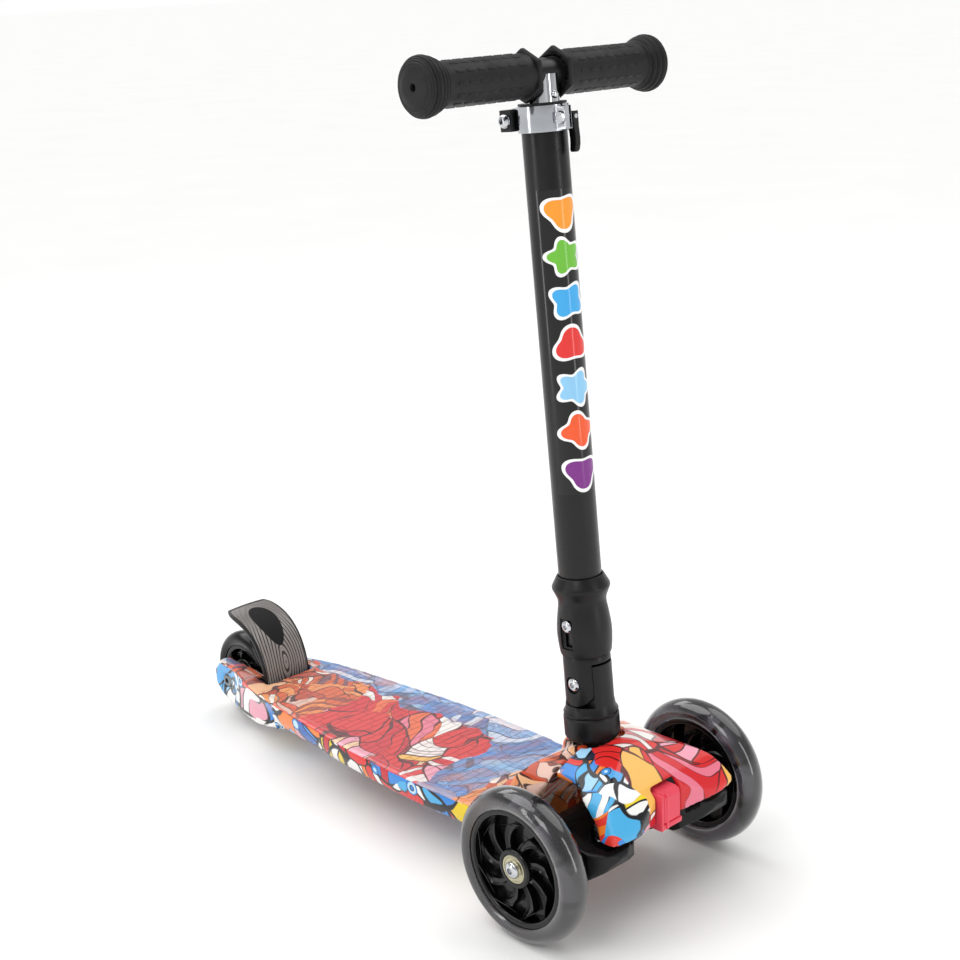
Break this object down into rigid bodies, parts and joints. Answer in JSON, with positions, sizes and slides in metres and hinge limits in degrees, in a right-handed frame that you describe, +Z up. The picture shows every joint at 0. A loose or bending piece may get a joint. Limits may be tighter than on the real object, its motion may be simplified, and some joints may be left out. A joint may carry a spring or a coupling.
{
  "type": "kick scooter",
  "caption": "Child's folding three-wheel kick scooter: lean-steered front truck, telescopic T-bar with quick release, fold joint and spoon brake over the rear wheel.",
  "frame": {"origin": "floor level under the middle of the whole scooter's bounding box", "axes": "+X to the scooter's left, +Y to the rear, +Z up; the front wheels are towards -Y"},
  "size_m": [0.237, 0.5828, 0.6361],
  "materials": {
    "printed_shell": "water-transfer print",
    "rose_plastic": "satin",
    "black_plastic": "satin",
    "print_grey": "wood-grain print",
    "black_paint": "satin",
    "rubber": "matte",
    "smoky_tyre": "clear smoke",
    "chrome": "polished",
    "aluminium": "polished",
    "zinc_steel": "zinc plated",
    "spring_steel": "drawn wire"
  },
  "bodies": {
    "frame": {"deck": "printed_shell", "front_cover": "printed_shell", "nose_block": "rose_plastic", "king_bolt": "zinc_steel", "king_washer": "zinc_steel", "king_nut": "zinc_steel", "fold_base": "black_plastic", "ring_nut": "black_plastic", "centring_spring_right": "spring_steel", "centring_spring_left": "spring_steel", "rear_axle": "zinc_steel", "rear_axle_nut": "zinc_steel", "rear_spacer_left": "zinc_steel", "rear_spacer_right": "zinc_steel", "brake_pin": "zinc_steel", "brake_spring": "spring_steel"},
    "truck": {"truck": "black_plastic", "axle_bolt_right": "chrome", "axle_bolt_left": "chrome", "wheel_spacer_right": "zinc_steel", "wheel_spacer_left": "zinc_steel"},
    "front_wheel_right": {"tyre_front_right": "smoky_tyre", "wheel_core_front_right": "black_plastic", "bearing_front_right_right": "zinc_steel", "bearing_front_right_left": "zinc_steel"},
    "front_wheel_left": {"tyre_front_left": "smoky_tyre", "wheel_core_front_left": "black_plastic", "bearing_front_left_right": "zinc_steel", "bearing_front_left_left": "zinc_steel"},
    "rear_wheel": {"tyre_rear": "smoky_tyre", "wheel_core_rear": "black_plastic", "bearing_rear_right": "zinc_steel", "bearing_rear_left": "zinc_steel"},
    "brake": {"brake_fender": "print_grey", "brake_pad": "rubber"},
    "column": {"fold_fork": "black_plastic", "pivot_bolt": "chrome", "pivot_bolt_nut": "zinc_steel", "tube_bolt": "chrome", "tube_bolt_nut": "zinc_steel", "outer_tube": "black_paint", "clamp_ring": "aluminium", "tube_bushing": "black_plastic", "adjuster_block": "black_plastic", "adjuster_screw": "chrome", "release_bolt": "chrome", "lever_pin": "chrome"},
    "sleeve": {"lock_sleeve": "black_plastic", "sleeve_spring": "spring_steel"},
    "lever": {"release_lever": "black_plastic"},
    "handlebar": {"stem": "chrome", "crossbar": "black_paint", "grip_right": "rubber", "grip_left": "rubber", "bar_plug_right": "rubber", "bar_plug_left": "rubber"},
    "snap": {"snap_button": "chrome"}
  },
  "joints": [
    {"name": "truck_lean", "type": "hinge", "parent": "frame", "child": "truck", "pos_m": [0, -0.22864, 0.045], "axis": [0, -0.7071, 0.7071], "range_deg": [-7, 7], "stiffness_Nm_per_rad": 50, "deforming": ["centring_spring_right", "centring_spring_left"]},
    {"name": "front_wheel_right_spin", "type": "hinge", "parent": "truck", "child": "front_wheel_right", "pos_m": [-0.1013, -0.22864, 0.06], "axis": [1, 0, 0], "continuous": true},
    {"name": "front_wheel_left_spin", "type": "hinge", "parent": "truck", "child": "front_wheel_left", "pos_m": [0.1013, -0.22864, 0.06], "axis": [1, 0, 0], "continuous": true},
    {"name": "rear_wheel_spin", "type": "hinge", "parent": "frame", "child": "rear_wheel", "pos_m": [0, 0.24936, 0.042], "axis": [1, 0, 0], "continuous": true},
    {"name": "brake_press", "type": "hinge", "parent": "frame", "child": "brake", "pos_m": [0, 0.18936, 0.048], "axis": [-1, 0, 0], "range_deg": [0, 10], "stiffness_Nm_per_rad": 2, "springref_deg": -6.88},
    {"name": "column_fold", "type": "hinge", "parent": "frame", "child": "column", "pos_m": [0, -0.20386, 0.16699], "axis": [-1, 0, 0], "range_deg": [0, 80]},
    {"name": "sleeve_slide", "type": "slide", "parent": "column", "child": "sleeve", "axis": [0, 0.0698, 0.9976], "range_m": [0, 0.012], "stiffness_N_per_m": 1500, "springref_m": -0.004, "deforming": ["sleeve_spring"]},
    {"name": "bar_height", "type": "slide", "parent": "column", "child": "handlebar", "axis": [0, 0.0698, 0.9976], "range_m": [0, 0.17]},
    {"name": "lever_turn", "type": "hinge", "parent": "column", "child": "lever", "pos_m": [0.0062, -0.19654, 0.5871], "axis": [0, -0.9976, 0.0698], "range_deg": [0, 110]},
    {"name": "snap_press", "type": "slide", "parent": "handlebar", "child": "snap", "axis": [0, 0.9976, -0.0698], "range_m": [0, 0.002], "stiffness_N_per_m": 800, "springref_m": -0.002}
  ]
}
